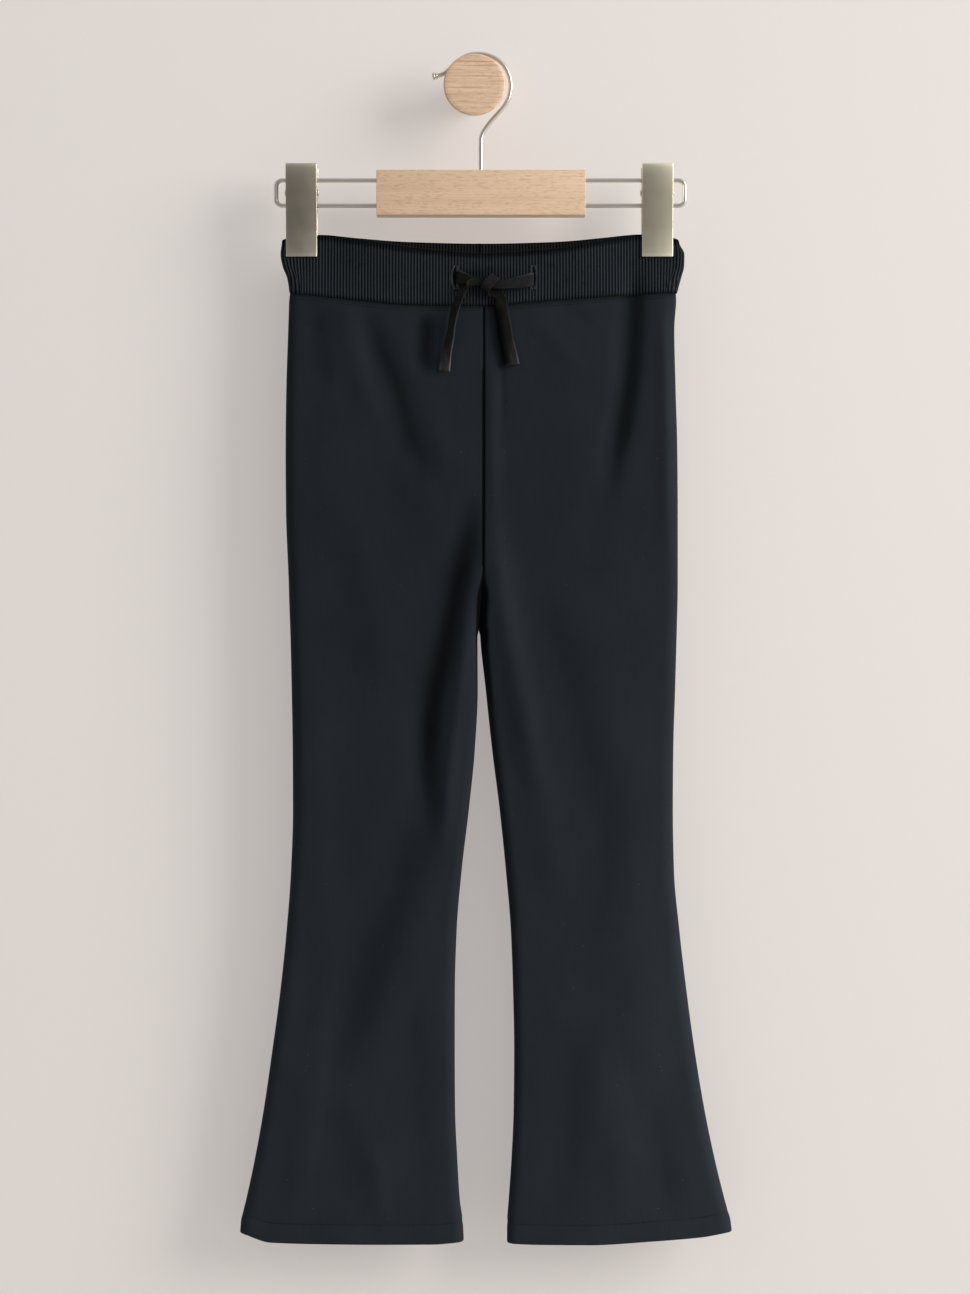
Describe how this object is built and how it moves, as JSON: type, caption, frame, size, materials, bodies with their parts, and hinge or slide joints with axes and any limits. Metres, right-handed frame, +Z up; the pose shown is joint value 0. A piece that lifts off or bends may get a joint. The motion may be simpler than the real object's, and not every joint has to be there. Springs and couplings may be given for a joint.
{
  "type": "flared joggers on a clip hanger and wall peg",
  "caption": "Child's pull-on flared joggers with a ribbed drawstring waistband, hung flat from a wood and wire clip hanger on a turned wooden wall peg.",
  "frame": {"origin": "centre of the flat back of the wall peg, on the wall", "axes": "+Y into the wall, so the garment's front faces -Y; +X to the right as seen from the front; +Z up"},
  "size_m": [0.3542, 0.0531, 0.8575],
  "materials": {
    "jersey": "matte brushed cotton jersey, blue black",
    "rib": "matte cotton rib knit, blue black",
    "tape": "matte flat knitted tape, warm dark grey",
    "beech": "pale beech, thin satin lacquer",
    "nickel": "nickel plated wire, satin",
    "clip_plate": "nickel plated sheet, satin"
  },
  "bodies": {
    "root": {"front_left_leg": "jersey", "front_right_leg": "jersey", "back_left_leg": "jersey", "back_right_leg": "jersey", "waistband": "rib", "drawstring_run_left": "tape", "drawstring_run_right": "tape", "drawstring_knot": "tape", "drawstring_end_left": "tape", "drawstring_end_right": "tape", "hanger_block": "beech", "hanger_wire": "nickel", "hanger_hook": "nickel", "clip_left_front": "clip_plate", "clip_left_back": "clip_plate", "clip_left_pin": "nickel", "clip_left_spring": "nickel", "clip_right_front": "clip_plate", "clip_right_back": "clip_plate", "clip_right_pin": "nickel", "clip_right_spring": "nickel", "wall_peg": "beech"}
  },
  "joints": []
}
